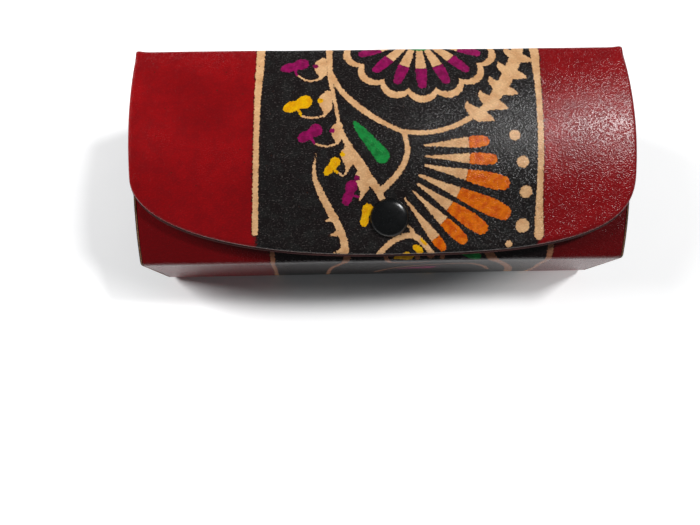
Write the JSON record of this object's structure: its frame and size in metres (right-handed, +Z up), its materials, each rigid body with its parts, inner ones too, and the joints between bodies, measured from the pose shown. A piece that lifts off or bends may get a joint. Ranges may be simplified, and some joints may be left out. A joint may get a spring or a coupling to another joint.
{
  "type": "eyeglasses case",
  "caption": "Hard leather-covered eyeglasses case with an arched front, a flap that folds over the front and a snap fastener.",
  "frame": {"origin": "on the back face the case lies on, under the middle of its bounding box", "axes": "+X along the case's length, +Y towards the fold of the flap, +Z up through the arched front"},
  "size_m": [0.1604, 0.0684, 0.0479],
  "materials": {
    "patterned_leather": "glossy wrinkled hide, dyed deep red and black with a tan and bright floral resist pattern",
    "plain_leather": "glossy wrinkled hide, dyed black",
    "board": "pressed wood-fibre board, matt grey-brown",
    "lining": "short soft nap, matt",
    "black_enamel": "glossy black enamel",
    "steel": "nickel-plated pressed steel"
  },
  "bodies": {
    "case_body": {"wrap_leather": "patterned_leather", "front_board": "board", "bottom_board": "board", "back_board": "board", "left_end_leather": "plain_leather", "right_end_leather": "plain_leather", "left_end_board": "board", "right_end_board": "board", "pocket_lining": "lining", "left_end_lining": "lining", "right_end_lining": "lining", "snap_stud": "steel", "snap_post": "steel"},
    "flap_top": {"top_leather": "patterned_leather", "top_board": "board", "top_lining": "lining"},
    "flap_front": {"flap_leather": "patterned_leather", "flap_board": "board", "flap_lining": "lining", "snap_cap": "black_enamel", "snap_socket": "steel", "snap_spring": "steel"}
  },
  "joints": [
    {"name": "rear_fold", "type": "hinge", "parent": "case_body", "child": "flap_top", "pos_m": [0, 0.0336, 0.0006], "axis": [-1, 0, 0], "range_deg": [0, 90]},
    {"name": "front_fold", "type": "hinge", "parent": "flap_top", "child": "flap_front", "pos_m": [0, 0.0336, 0.04403], "axis": [-1, 0, 0], "range_deg": [0, 70]}
  ]
}
